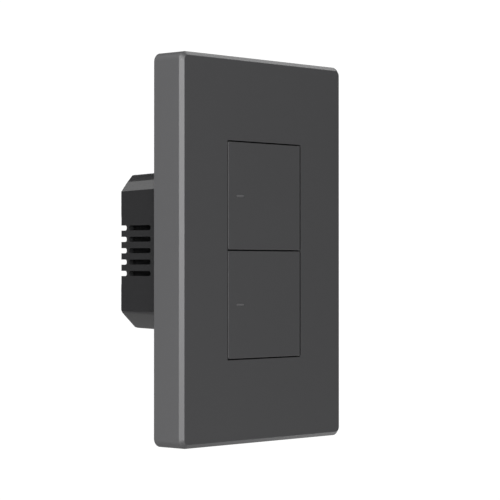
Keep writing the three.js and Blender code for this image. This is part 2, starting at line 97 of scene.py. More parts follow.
def addPin(name, x, y, radius, zLow, zHigh, sides=32):
    deselectAll()
    bpy.ops.mesh.primitive_cylinder_add(
        vertices=sides, radius=radius * mm, depth=(zHigh - zLow) * mm,
        location=(x * mm, y * mm, (zLow + zHigh) / 2 * mm))
    return settle(name)


def startEdit(piece, kind):
    makeActive(piece)
    bpy.ops.object.mode_set(mode="EDIT")
    bpy.ops.mesh.select_mode(type=kind)
    bpy.ops.mesh.select_all(action="DESELECT")


def endEdit():
    bpy.ops.object.mode_set(mode="OBJECT")


def pickFaces(piece, test):
    mesh = bmesh.from_edit_mesh(piece.data)
    for face in mesh.faces:
        face.select_set(bool(test(face.calc_center_median() / mm, face.normal)))
    bmesh.update_edit_mesh(piece.data)


def pickEdges(piece, test):
    mesh = bmesh.from_edit_mesh(piece.data)
    for edge in mesh.edges:
        edge.select_set(bool(test(edge.verts[0].co / mm, edge.verts[1].co / mm)))
    bmesh.update_edit_mesh(piece.data)


def pickPoints(piece, test):
    mesh = bmesh.from_edit_mesh(piece.data)
    for point in mesh.verts:
        point.select_set(bool(test(point.co / mm)))
    mesh.select_flush(True)
    bmesh.update_edit_mesh(piece.data)


def near(a, b, within=0.01):
    return abs(a - b) < within


def alongY(a, b):
    return near(a.x, b.x) and near(a.z, b.z) and not near(a.y, b.y)


def alongX(a, b):
    return near(a.y, b.y) and near(a.z, b.z) and not near(a.x, b.x)


def alongZ(a, b):
    return near(a.x, b.x) and near(a.y, b.y) and not near(a.z, b.z)


def bevelEdges(piece, test, width, segments=1, profile=0.5):
    startEdit(piece, "EDGE")
    pickEdges(piece, test)
    bpy.ops.mesh.bevel(offset=width * mm, segments=segments, profile=profile, affect="EDGES")
    endEdit()
    return piece


def hollowFrom(piece, test, wall, depth):
    # a wall is left round the picked face, and the rest of it is pushed in
    startEdit(piece, "FACE")
    pickFaces(piece, test)
    bpy.ops.mesh.inset(thickness=wall * mm, depth=0)
    bpy.ops.mesh.extrude_region_move(TRANSFORM_OT_translate={"value": Vector(depth) * mm})
    endEdit()


def movePoints(piece, test, shift):
    startEdit(piece, "VERT")
    pickPoints(piece, test)
    bpy.ops.transform.translate(value=Vector(shift) * mm)
    endEdit()


def turnRight(piece):
    startEdit(piece, "FACE")
    bpy.ops.mesh.select_all(action="SELECT")
    bpy.ops.mesh.normals_make_consistent(inside=False)
    endEdit()


def traceOutline(name, points, yFront, yBack):
    # a corner at a time from one point, closed into a face and pulled back to its depth
    deselectAll()
    first = points[0]
    bpy.ops.mesh.primitive_plane_add(size=mm, location=(first[0] * mm, yFront * mm, first[1] * mm))
    piece = settle(name)
    startEdit(piece, "VERT")
    bpy.ops.mesh.select_all(action="SELECT")
    bpy.ops.mesh.merge(type="CENTER")
    for a, b in zip(points, points[1:]):
        step = Vector((b[0] - a[0], 0, b[1] - a[1])) * mm
        bpy.ops.mesh.extrude_vertices_move(TRANSFORM_OT_translate={"value": step})
    bpy.ops.mesh.select_all(action="SELECT")
    bpy.ops.mesh.edge_face_add()
    bpy.ops.mesh.extrude_region_move(TRANSFORM_OT_translate={"value": (0, (yBack - yFront) * mm, 0)})
    endEdit()
    turnRight(piece)
    return piece


def turnProfile(name, x, z, profile, steps=64):
    # profile points are radius and Y; it is spun round the line along Y through x and z
    deselectAll()
    radius, y = profile[0]
    bpy.ops.mesh.primitive_plane_add(size=mm, location=((x + radius) * mm, y * mm, z * mm))
    piece = settle(name)
    startEdit(piece, "VERT")
    bpy.ops.mesh.select_all(action="SELECT")
    bpy.ops.mesh.merge(type="CENTER")
    for a, b in zip(profile, profile[1:]):
        step = Vector((b[0] - a[0], b[1] - a[1], 0)) * mm
        bpy.ops.mesh.extrude_vertices_move(TRANSFORM_OT_translate={"value": step})
    bpy.ops.mesh.select_all(action="SELECT")
    bpy.ops.mesh.spin(steps=steps, angle=2 * math.pi, center=(x * mm, 0, z * mm), axis=(0, 1, 0))
    bpy.ops.mesh.select_all(action="SELECT")
    bpy.ops.mesh.remove_doubles(threshold=weldGap)
    endEdit()
    turnRight(piece)
    return piece


def applyModifier(piece, modifier):
    makeActive(piece)
    bpy.ops.object.modifier_apply(modifier=modifier.name)


def joined(pieces):
    makeActive(pieces[0])
    for piece in pieces:
        piece.select_set(True)
    if len(pieces) > 1:
        bpy.ops.object.join()
    return pieces[0]


def combine(piece, others, operation):
    tool = joined(others)
    modifier = piece.modifiers.new(operation.title(), "BOOLEAN")
    modifier.operation = operation
    modifier.solver = "EXACT"
    modifier.use_self = True
    modifier.use_hole_tolerant = True
    modifier.object = tool
    applyModifier(piece, modifier)
    bpy.data.objects.remove(tool)
    return piece


def cutAway(piece, cutters):
    return combine(piece, cutters, "DIFFERENCE")


def addOn(piece, extras):
    return combine(piece, extras, "UNION")


def softenEdges(piece, width, segments=2, angle=35):
    # small even rounding on every sharp edge, as a mould or a deburred blank leaves it
    startEdit(piece, "VERT")
    bpy.ops.mesh.select_all(action="SELECT")
    bpy.ops.mesh.remove_doubles(threshold=weldGap)
    bpy.ops.mesh.dissolve_limited(angle_limit=math.radians(0.4))
    endEdit()
    modifier = piece.modifiers.new("Soften", "BEVEL")
    modifier.width = width * mm
    modifier.segments = segments
    modifier.limit_method = "ANGLE"
    modifier.angle_limit = math.radians(angle)
    modifier.use_clamp_overlap = True
    modifier.face_strength_mode = "FSTR_ALL"
    applyModifier(piece, modifier)


def keepCrisp(piece, test):
    # seams mark the shallow lines that smoothShade then leaves sharp
    startEdit(piece, "EDGE")
    pickEdges(piece, test)
    bpy.ops.mesh.mark_seam()
    endEdit()


def smoothShade(piece, angle=32):
    # big flat faces keep their own direction, and only the small roundings turn
    makeActive(piece)
    bpy.ops.mesh.customdata_custom_splitnormals_clear()
    bpy.ops.object.shade_smooth_by_angle(angle=math.radians(angle))
    for edge in piece.data.edges:
        if edge.use_seam:
            edge.use_edge_sharp = True
    modifier = piece.modifiers.new("Even", "WEIGHTED_NORMAL")
    modifier.mode = "FACE_AREA"
    modifier.weight = 80
    modifier.keep_sharp = True
    modifier.use_face_influence = True
    applyModifier(piece, modifier)


def handOver(piece, body, nodes, material):
    piece.data.materials.clear()
    piece.data.materials.append(material)
    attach(piece, body)
    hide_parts(*nodes)
    return piece


def copyOfNode(node, name):
    # a CAD solid taken over, welded and cleared of its flat triangles
    piece = bpy.data.objects.new(name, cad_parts[node].data.copy())
    bpy.context.scene.collection.objects.link(piece)
    startEdit(piece, "VERT")
    bpy.ops.mesh.select_all(action="SELECT")
    bpy.ops.mesh.remove_doubles(threshold=weldGap)
    bpy.ops.mesh.dissolve_limited(angle_limit=math.radians(0.5))
    endEdit()
    return piece


def newGroup(name, inputs, outputs):
    group = bpy.data.node_groups.new(name, "ShaderNodeTree")
    for label, kind, value in inputs:
        socket = group.interface.new_socket(name=label, in_out="INPUT", socket_type=kind)
        socket.default_value = value
    for label, kind in outputs:
        group.interface.new_socket(name=label, in_out="OUTPUT", socket_type=kind)
    return group, group.nodes.new("NodeGroupInput"), group.nodes.new("NodeGroupOutput")


def mathNode(tree, operation, a, b=0.5, clamp=False):
    node = tree.nodes.new("ShaderNodeMath")
    node.operation = operation
    node.use_clamp = clamp
    for socket, value in zip(node.inputs, (a, b)):
        if isinstance(value, bpy.types.NodeSocket):
            tree.links.new(value, socket)
        else:
            socket.default_value = value
    return node.outputs[0]


def noiseNode(tree, scale, detail=3.0, stretch=None, shift=(0, 0, 0)):
    place = tree.nodes.new("ShaderNodeTexCoord").outputs["Object"]
    mapping = tree.nodes.new("ShaderNodeMapping")
    mapping.inputs["Location"].default_value = shift
    mapping.inputs["Scale"].default_value = stretch or (1, 1, 1)
    tree.links.new(place, mapping.inputs["Vector"])
    noise = tree.nodes.new("ShaderNodeTexNoise")
    noise.inputs["Detail"].default_value = detail
    tree.links.new(mapping.outputs["Vector"], noise.inputs["Vector"])
    if isinstance(scale, bpy.types.NodeSocket):
        tree.links.new(scale, noise.inputs["Scale"])
    else:
        noise.inputs["Scale"].default_value = scale
    return noise.outputs["Fac"]


# the skin that a spark-eroded mould leaves: fine pits, and slow drift in tone
def buildMouldSkin():
    group, given, made = newGroup(
        "mouldSkin",
        [("Pit Scale", "NodeSocketFloat", 5200), ("Drift Scale", "NodeSocketFloat", 35)],
        [("Height", "NodeSocketFloat"), ("Drift", "NodeSocketFloat")])
    pits = noiseNode(group, given.outputs["Pit Scale"], 2.5)
    cells = group.nodes.new("ShaderNodeTexVoronoi")
    group.links.new(group.nodes.new("ShaderNodeTexCoord").outputs["Object"], cells.inputs["Vector"])
    group.links.new(given.outputs["Pit Scale"], cells.inputs["Scale"])
    cellShare = 0.5
    height = mathNode(group, "MULTIPLY_ADD", cells.outputs["Distance"], cellShare)
    group.links.new(pits, height.node.inputs[2])
    group.links.new(height, made.inputs["Height"])
    group.links.new(noiseNode(group, given.outputs["Drift Scale"], 4), made.inputs["Drift"])
    return group


# edges that hands and tools have rubbed: bright where a rounded normal leaves the flat one
def buildEdgeRub():
    edgeGain, patchGain = 3.0, 1.5
    group, given, made = newGroup(
        "edgeRub",
        [("Reach", "NodeSocketFloat", 0.0003), ("Patchiness", "NodeSocketFloat", 300)],
        [("Rubbed", "NodeSocketFloat")])
    rounded = group.nodes.new("ShaderNodeBevel")
    rounded.samples = 4
    group.links.new(given.outputs["Reach"], rounded.inputs["Radius"])
    surface = group.nodes.new("ShaderNodeNewGeometry")
    turned = group.nodes.new("ShaderNodeVectorMath")
    turned.operation = "DOT_PRODUCT"
    group.links.new(rounded.outputs["Normal"], turned.inputs[0])
    group.links.new(surface.outputs["Normal"], turned.inputs[1])
    edge = mathNode(group, "SUBTRACT", 1.0, turned.outputs["Value"])
    edge = mathNode(group, "MULTIPLY", edge, edgeGain, clamp=True)
    patches = noiseNode(group, given.outputs["Patchiness"], 3)
    patches = mathNode(group, "MULTIPLY", patches, patchGain, clamp=True)
    group.links.new(mathNode(group, "MULTIPLY", edge, patches), made.inputs["Rubbed"])
    return group


# drawn, rolled or brushed metal: long fine lines one way
def buildRolledGrain():
    group, given, made = newGroup(
        "rolledGrain",
        [("Line Scale", "NodeSocketFloat", 2600)],
        [("Height", "NodeSocketFloat"), ("Sheen Drift", "NodeSocketFloat")])
    lines = noiseNode(group, given.outputs["Line Scale"], 3, stretch=(1, 1, 0.03))
    group.links.new(lines, made.inputs["Height"])
    group.links.new(noiseNode(group, 60, 3), made.inputs["Sheen Drift"])
    return group


# painted shade: narrow gaps and deep corners are darkened by occlusion, standing in for the shade that falls
# there
def buildPaintedCreviceShade():
    steepness = 2.2
    group, given, made = newGroup(
        "paintedCreviceShade", [("Reach", "NodeSocketFloat", 0.001)], [("Unshaded", "NodeSocketFloat")])
    shut = group.nodes.new("ShaderNodeAmbientOcclusion")
    shut.samples = 6
    group.links.new(given.outputs["Reach"], shut.inputs["Distance"])
    # painted shade: the occlusion factor, steepened; low values darken colour and shine below
    steeper = mathNode(group, "POWER", shut.outputs["AO"], steepness)
    group.links.new(steeper, made.inputs["Unshaded"])
    return group


mouldSkin = buildMouldSkin()
paintedCreviceShade = buildPaintedCreviceShade()
edgeRub = buildEdgeRub()
rolledGrain = buildRolledGrain()


def placeGroup(tree, group, values):
    node = tree.nodes.new("ShaderNodeGroup")
    node.node_tree = group
    for label, value in values.items():
        node.inputs[label].default_value = value
    return node


def ramp(tree, factor, low, high):
    node = tree.nodes.new("ShaderNodeMapRange")
    node.inputs["To Min"].default_value = low
    node.inputs["To Max"].default_value = high
    tree.links.new(factor, node.inputs["Value"])
    return node.outputs["Result"]


def mixColour(tree, factor, a, b):
    node = tree.nodes.new("ShaderNodeMix")
    node.data_type = "RGBA"
    tree.links.new(factor, node.inputs["Factor"])
    for socket, value in ((node.inputs[6], a), (node.inputs[7], b)):
        if isinstance(value, bpy.types.NodeSocket):
            tree.links.new(value, socket)
        else:
            socket.default_value = (*value, 1)
    return node.outputs[2]


def newMaterial(name):
    material = bpy.data.materials.new(name)
    material.use_nodes = True
    tree = material.node_tree
    return material, tree, tree.nodes["Principled BSDF"]


def roughen(tree, shader, height, depth):
    bump = tree.nodes.new("ShaderNodeBump")
    bump.inputs["Strength"].default_value = 1
    bump.inputs["Distance"].default_value = depth * mm
    tree.links.new(height, bump.inputs["Height"])
    tree.links.new(bump.outputs["Normal"], shader.inputs["Normal"])


# what every moulded piece has unless its own look says otherwise; reaches and depth are in mm
plasticCommon = {
    "pitScale": 5200, "depth": 0.004, "driftScale": 35, "drift": 1.06,
    "rub": 0.15, "rubReach": 0.25, "rubGain": 1.8, "rubLift": 0.01,
    # the gap values set the painted shade in gaps and deep corners: its reach in mm, the share of colour left,
    # and the shine left
    "paintedGapReach": 0.6, "paintedGapTone": 0.08, "paintedGapSpecular": 0.02, "specular": 0.5,
}
metalCommon = {"lineScale": 2600, "depth": 0.003, "rubReach": 0.2, "rubGain": 1.25}


def plasticMaterial(name, ownLook):
    look = {**plasticCommon, **ownLook}
    material, tree, shader = newMaterial(name)
    skin = placeGroup(tree, mouldSkin, {"Pit Scale": look["pitScale"], "Drift Scale": look["driftScale"]})
    rub = placeGroup(tree, edgeRub, {"Reach": look["rubReach"] * mm})
    occludedShadeNode = placeGroup(tree, paintedCreviceShade, {"Reach": look["paintedGapReach"] * mm})
    base = look["colour"]
    drifted = tuple(channel * look["drift"] for channel in base)
    rubbed = tuple(min(1, channel * look["rubGain"] + look["rubLift"]) for channel in base)
    shade = tuple(channel * look["paintedGapTone"] for channel in base)
    worn = mathNode(tree, "MULTIPLY", rub.outputs["Rubbed"], look["rub"])
    tone = mixColour(tree, skin.outputs["Drift"], base, drifted)
    tone = mixColour(tree, worn, tone, rubbed)
    # painted shade: in gaps and deep corners the base colour darkens to a small share of itself and the shine
    # drops
    tree.links.new(mixColour(tree, occludedShadeNode.outputs["Unshaded"], shade, tone), shader.inputs["Base Color"])
    shine = ramp(tree, occludedShadeNode.outputs["Unshaded"], look["paintedGapSpecular"], look["specular"])
    tree.links.new(shine, shader.inputs["Specular IOR Level"])
    tree.links.new(ramp(tree, skin.outputs["Drift"], *look["roughness"]), shader.inputs["Roughness"])
    roughen(tree, shader, skin.outputs["Height"], look["depth"])
    return material


def metalMaterial(name, ownLook):
    look = {**metalCommon, **ownLook}
    material, tree, shader = newMaterial(name)
    grain = placeGroup(tree, rolledGrain, {"Line Scale": look["lineScale"]})
    rub = placeGroup(tree, edgeRub, {"Reach": look["rubReach"] * mm})
    bright = tuple(min(1, channel * look["rubGain"]) for channel in look["colour"])
    tone = mixColour(tree, grain.outputs["Sheen Drift"], look["colour"], look["second"])
    tree.links.new(mixColour(tree, rub.outputs["Rubbed"], tone, bright), shader.inputs["Base Color"])
    tree.links.new(ramp(tree, grain.outputs["Sheen Drift"], *look["roughness"]), shader.inputs["Roughness"])
    shader.inputs["Metallic"].default_value = 1
    roughen(tree, shader, grain.outputs["Height"], look["depth"])
    return material


plasticLooks = {
    "plateGrey": {"colour": (0.045, 0.045, 0.0465), "roughness": (0.46, 0.5), "drift": 1.02, "rub": 0.05},
    "keyGrey": {"colour": (0.045, 0.045, 0.0465), "roughness": (0.46, 0.5), "drift": 1.02, "rub": 0.05},
    "housingBlack": {"colour": (0.013, 0.013, 0.0135), "roughness": (0.2, 0.24), "rub": 0.1,
                     "depth": 0.0015},
    "carrierGrey": {"colour": (0.025, 0.025, 0.026), "roughness": (0.5, 0.6)},
    "switchBlack": {"colour": (0.012, 0.012, 0.013), "roughness": (0.4, 0.5)},
    "plungerCream": {"colour": (0.62, 0.56, 0.42), "roughness": (0.3, 0.42)},
    "ledWhite": {"colour": (0.72, 0.7, 0.62), "roughness": (0.25, 0.35)},
    "connectorBlack": {"colour": (0.01, 0.01, 0.011), "roughness": (0.45, 0.55)},
    "capacitorRed": {"colour": (0.21, 0.03, 0.018), "roughness": (0.22, 0.35), "depth": 0.01,
                     "pitScale": 900},
    "sleeveBlue": {"colour": (0.012, 0.02, 0.04), "roughness": (0.18, 0.3), "depth": 0.003},
    "ferriteGrey": {"colour": (0.03, 0.03, 0.032), "roughness": (0.55, 0.7), "depth": 0.01,
                    "pitScale": 2400},
    "transformerBlack": {"colour": (0.018, 0.018, 0.019), "roughness": (0.5, 0.62), "depth": 0.01,
                         "pitScale": 2400},
    "fuseCeramic": {"colour": (0.66, 0.62, 0.54), "roughness": (0.2, 0.3), "depth": 0.002},
    "varistorBlue": {"colour": (0.02, 0.07, 0.24), "roughness": (0.28, 0.4), "depth": 0.012,
                     "pitScale": 700},
    "triacBlack": {"colour": (0.01, 0.01, 0.011), "roughness": (0.5, 0.6), "depth": 0.008},
    "terminalGreen": {"colour": (0.03, 0.14, 0.075), "roughness": (0.35, 0.45)},
}

metalLooks = {
    "zincPlate": {"colour": (0.52, 0.54, 0.56), "second": (0.42, 0.44, 0.46), "roughness": (0.3, 0.44)},
    "zincScrew": {"colour": (0.56, 0.57, 0.58), "second": (0.46, 0.47, 0.49), "roughness": (0.24, 0.36)},
    "blackScrew": {"colour": (0.03, 0.03, 0.032), "second": (0.05, 0.05, 0.052), "roughness": (0.35, 0.5)},
    "springWire": {"colour": (0.55, 0.56, 0.57), "second": (0.48, 0.49, 0.5), "roughness": (0.2, 0.3)},
    "tinnedCan": {"colour": (0.62, 0.62, 0.6), "second": (0.54, 0.54, 0.53), "roughness": (0.22, 0.36)},
    "contactBrass": {"colour": (0.6, 0.42, 0.16), "second": (0.5, 0.34, 0.12), "roughness": (0.24, 0.36)},
    "clampBrass": {"colour": (0.56, 0.4, 0.17), "second": (0.46, 0.32, 0.13), "roughness": (0.28, 0.42)},
    "spreaderAluminium": {"colour": (0.66, 0.67, 0.68), "second": (0.58, 0.59, 0.6),
                          "roughness": (0.34, 0.48)},
}


def boardMaterial():
    # solder mask over copper: raised tracks along a brick-like grid, broken into patches
    look = {"mask": (0.01, 0.07, 0.035), "track": (0.02, 0.12, 0.06), "pitch": 420, "width": 0.12,
            "patchScale": 240, "roughness": (0.22, 0.34), "raised": 0.03}
    material, tree, shader = newMaterial("solderMask")
    tracks = tree.nodes.new("ShaderNodeTexBrick")
    place = tree.nodes.new("ShaderNodeTexCoord").outputs["Object"]
    turned = tree.nodes.new("ShaderNodeMapping")
    turned.inputs["Rotation"].default_value = (math.pi / 2, 0, 0)
    tree.links.new(place, turned.inputs["Vector"])
    tree.links.new(turned.outputs["Vector"], tracks.inputs["Vector"])
    tracks.inputs["Scale"].default_value = look["pitch"]
    tracks.inputs["Mortar Size"].default_value = look["width"]
    tracks.inputs["Color1"].default_value = (0, 0, 0, 1)
    tracks.inputs["Color2"].default_value = (0.1, 0.1, 0.1, 1)
    tracks.inputs["Mortar"].default_value = (1, 1, 1, 1)
    gap = noiseNode(tree, look["patchScale"], 1)
    shown = mathNode(tree, "GREATER_THAN", gap, 0.5)
    track = mathNode(tree, "MULTIPLY", tracks.outputs["Fac"], shown)
    tree.links.new(mixColour(tree, track, look["mask"], look["track"]), shader.inputs["Base Color"])
    tree.links.new(ramp(tree, gap, *look["roughness"]), shader.inputs["Roughness"])
    roughen(tree, shader, track, look["raised"])
    return material


def lensMaterial():
    # smoked light pipe, a little lighter than the key it sits in
    look = {"colour": (0.07, 0.07, 0.072), "centre": (0.1, 0.1, 0.102), "driftScale": 500,
            "roughness": (0.3, 0.4), "depth": 0.002}
    material, tree, shader = newMaterial("smokedLens")
    drift = noiseNode(tree, look["driftScale"], 2)
    tree.links.new(mixColour(tree, drift, look["colour"], look["centre"]), shader.inputs["Base Color"])
    tree.links.new(ramp(tree, drift, *look["roughness"]), shader.inputs["Roughness"])
    roughen(tree, shader, drift, look["depth"])
    return material


materials = {name: plasticMaterial(name, look) for name, look in plasticLooks.items()}
materials.update({name: metalMaterial(name, look) for name, look in metalLooks.items()})
materials["solderMask"] = boardMaterial()
materials["smokedLens"] = lensMaterial()
print("finishes made:", len(materials))


# where the camera stands in mm, how far it is turned and tilted in degrees, and its lens in mm
cameraPlace = {"at": (-472, -438, -5.6), "turn": 47.51, "tilt": 0.52, "lens": 146.0, "sensor": 36}


def setCamera():
    turn, tilt = math.radians(cameraPlace["turn"]), math.radians(cameraPlace["tilt"])
    ahead = Vector((math.sin(turn) * math.cos(tilt), math.cos(turn) * math.cos(tilt), math.sin(tilt)))
    bpy.ops.object.camera_add(location=Vector(cameraPlace["at"]) * mm)
    camera = bpy.context.object
    camera.rotation_euler = ahead.to_track_quat("-Z", "Y").to_euler()
    camera.data.lens = cameraPlace["lens"]
    camera.data.sensor_width = cameraPlace["sensor"]
    camera.data.clip_start = 0.01
    camera.data.clip_end = 50
    bpy.context.scene.camera = camera


def makeFloor():
    floorLook = {"drop": 420, "half": 1200, "glow": 0.015, "tone": 0.45, "drift": 0.01, "roughness": 0.9}
    deselectAll()
    low = boxOf("front_plate")[0].z - floorLook["drop"]
    bpy.ops.mesh.primitive_plane_add(size=2 * floorLook["half"] * mm, location=(0, 0, low * mm))
    floor = settle("floor")
    material, tree, shader = newMaterial("paleFloor")
    darkest, lightest = floorLook["tone"] - floorLook["drift"], floorLook["tone"] + floorLook["drift"]
    tone = ramp(tree, noiseNode(tree, 3, 2), darkest, lightest)
    colour = tree.nodes.new("ShaderNodeCombineColor")
    for socket in colour.inputs:
        tree.links.new(tone, socket)
    tree.links.new(colour.outputs["Color"], shader.inputs["Base Color"])
    shader.inputs["Roughness"].default_value = floorLook["roughness"]
    shader.inputs["Emission Color"].default_value = (1, 1, 1, 1)
    shader.inputs["Emission Strength"].default_value = floorLook["glow"]
    floor.data.materials.append(material)


# each lamp: where it stands and its size in metres, and its power in watts
lamps = {
    "cameraSoftbox": {"at": (-1.05, -0.88, 0.15), "size": 0.5, "power": 18.6},
    "cameraTopSoftbox": {"at": (-0.9, -0.85, 0.9), "size": 0.6, "power": 14.2},
    "leftLowSoftbox": {"at": (-1.2, 0.2, -0.3), "size": 0.5, "power": 6},
    "leftTopSoftbox": {"at": (-1.1, 0.1, 1.1), "size": 0.6, "power": 19.5},
    "ridgeSoftbox": {"at": (-0.18, 1.07, 1.0), "size": 0.3, "power": 0.56},
    "rightTopSoftbox": {"at": (1.0, 0.05, 1.0), "size": 0.5, "power": 4.5},
    "rightLowSoftbox": {"at": (0.6, -0.03, -0.36), "size": 0.3, "power": 1.1},
    "farFill": {"at": (1.0, 1.3, 0.4), "size": 1.0, "power": 8},
}
sky = {"seen": 1.05, "lit": 0.06}  # what the camera sees, and what lights the room


def setLights():
    for name, lamp in lamps.items():
        place = Vector(lamp["at"])
        data = bpy.data.lights.new(name, "AREA")
        data.shape = "SQUARE"
        data.size = lamp["size"]
        data.energy = lamp["power"]
        light = bpy.data.objects.new(name, data)
        light.location = place
        light.rotation_euler = (-place).to_track_quat("-Z", "Y").to_euler()
        light.visible_camera = False
        bpy.context.scene.collection.objects.link(light)


def setBackdrop():
    # the room is plain white to look at, and dimmer as a source of light
    world = bpy.data.worlds.new("studio")
    bpy.context.scene.world = world
    world.use_nodes = True
    tree = world.node_tree
    tree.nodes.clear()
    seen = tree.nodes.new("ShaderNodeBackground")
    seen.inputs["Strength"].default_value = sky["seen"]
    lit = tree.nodes.new("ShaderNodeBackground")
    lit.inputs["Strength"].default_value = sky["lit"]
    path = tree.nodes.new("ShaderNodeLightPath")
    choose = tree.nodes.new("ShaderNodeMixShader")
    out = tree.nodes.new("ShaderNodeOutputWorld")
    for shader in (seen, lit):
        shader.inputs["Color"].default_value = (1, 1, 1, 1)
    tree.links.new(path.outputs["Is Camera Ray"], choose.inputs["Fac"])
    tree.links.new(lit.outputs["Background"], choose.inputs[1])
    tree.links.new(seen.outputs["Background"], choose.inputs[2])
    tree.links.new(choose.outputs["Shader"], out.inputs["Surface"])
    bpy.context.scene.view_settings.view_transform = "Standard"


setCamera()
makeFloor()
setLights()
setBackdrop()
print("camera, floor and light set")


def makeFrontPlate():
    shape = {"corner": 2.8, "chamfer": 1.2, "wall": 1.8, "face": 2.0, "rim": 0.3, "root": 0.3,
             "windowWide": 34.2, "windowHigh": 67.7, "windowRound": 0.35,
             "collar": 1.2, "collarBack": -8.2, "collarRound": 1.0, "ease": 0.1}
    low, high = boxOf("front_plate")
    plate = addBlock("frontPlate", low, high)
    bevelEdges(plate, alongY, shape["corner"], segments=14)
    bevelEdges(plate, lambda a, b: near(a.y, low.y) and near(b.y, low.y), shape["chamfer"])
    bevelEdges(plate, lambda a, b: near(a.y, high.y) and near(b.y, high.y), shape["rim"], segments=3)
    depth = high.y - low.y - shape["face"]
    hollowFrom(plate, lambda centre, normal: near(centre.y, high.y) and normal.y > squarely,
               shape["wall"] - shape["rim"], (0, -depth, 0))
    halfWide, halfHigh = shape["windowWide"] / 2, shape["windowHigh"] / 2
    back = low.y + shape["face"]
    ring = shape["collar"]
    collar = addBlock("collar", (-halfWide - ring, back - shape["root"], -halfHigh - ring),
                      (halfWide + ring, shape["collarBack"], halfHigh + ring))
    bevelEdges(collar, alongY, shape["collarRound"], segments=5)
    addOn(plate, [collar])
    window = addBlock("window", (-halfWide, low.y - 2, -halfHigh), (halfWide, back + 4, halfHigh))
    bevelEdges(window, alongY, shape["windowRound"], segments=5)
    cutAway(plate, [window])
    addOn(plate, plateHooks(back - shape["root"]))
    softenEdges(plate, shape["ease"])
    smoothShade(plate)
    handOver(plate, "base", ["front_plate"], materials["plateGrey"])


def plateHooks(root):
    hook = {"x": 28, "z": 44, "wide": 6, "thick": 1.2, "nib": 0.8, "back": -0.9, "leadIn": 0.5}
    halfThick, halfWide = hook["thick"] / 2, hook["wide"] / 2
    nibFront = hook["back"] - hook["nib"]
    made = []
    for sideX in (-1, 1):
        for sideZ in (-1, 1):
            x, z = sideX * (hook["x"] + halfThick), sideZ * hook["z"]
            arm = addBlock("arm", (x - halfThick, root, z - halfWide),
                           (x + halfThick, hook["back"], z + halfWide))
            # the nib is pushed out of the arm's outer face near its end, with a sloping lead-in
            startEdit(arm, "EDGE")
            bpy.ops.mesh.select_all(action="SELECT")
            bpy.ops.mesh.bisect(plane_co=Vector((0, nibFront, 0)) * mm, plane_no=(0, 1, 0))
            endEdit()
            startEdit(arm, "FACE")
            pickFaces(arm, lambda centre, normal: normal.x * sideX > squarely and centre.y > nibFront)
            out = (sideX * hook["nib"] * mm, 0, 0)
            bpy.ops.mesh.extrude_region_move(TRANSFORM_OT_translate={"value": out})
            endEdit()
            outer = sideX * (hook["x"] + hook["thick"] + hook["nib"])
            bevelEdges(arm, lambda a, b: near(a.x, outer) and near(b.x, outer)
                       and near(a.y, hook["back"]) and near(b.y, hook["back"]), hook["leadIn"])
            made.append(arm)
    return made


makeFrontPlate()
print("front plate made")


keyShape = {"round": 0.5, "edge": 0.25, "face": 1.6, "skirt": 0.9, "inset": 0.04, "ease": 0.06,
            "pivotX": 13.8, "pivotY": -8.6, "pin": 0.7, "clipReach": 9, "lensX": -11.3, "springX": -6.5,
            "slotHalfLong": 1.7, "slotHalfHigh": 0.4, "slotRound": 0.2}


def makeKey(level):
    node = f"{level}_key"
    low, high = boxOf(node)
    middle = (low.z + high.z) / 2
    inside = low.y + keyShape["face"]
    gap = keyShape["inset"]
    key = addBlock(f"{level}Key", (low.x + gap, low.y, low.z + gap), (high.x - gap, high.y, high.z - gap))
    bevelEdges(key, lambda a, b: alongY(a, b) and abs(a.x) > 16, keyShape["round"], segments=5)
    bevelEdges(key, lambda a, b: near(a.y, low.y) and near(b.y, low.y), keyShape["edge"], segments=3)
    hollowFrom(key, lambda centre, normal: near(centre.y, high.y) and normal.y > squarely,
               keyShape["skirt"], (0, inside - high.y, 0))
    x, halfLong, halfHigh = keyShape["lensX"], keyShape["slotHalfLong"], keyShape["slotHalfHigh"]
    slot = addBlock("slot", (x - halfLong, low.y - 1, middle - halfHigh),
                    (x + halfLong, inside + 1, middle + halfHigh))
    bevelEdges(slot, alongY, keyShape["slotRound"], segments=4)
    cutAway(key, [slot])
    addOn(key, keyInnards(middle, inside, low, high))
    softenEdges(key, keyShape["ease"])
    smoothShade(key)
    handOver(key, f"{level}_key_body", [node], materials["keyGrey"])


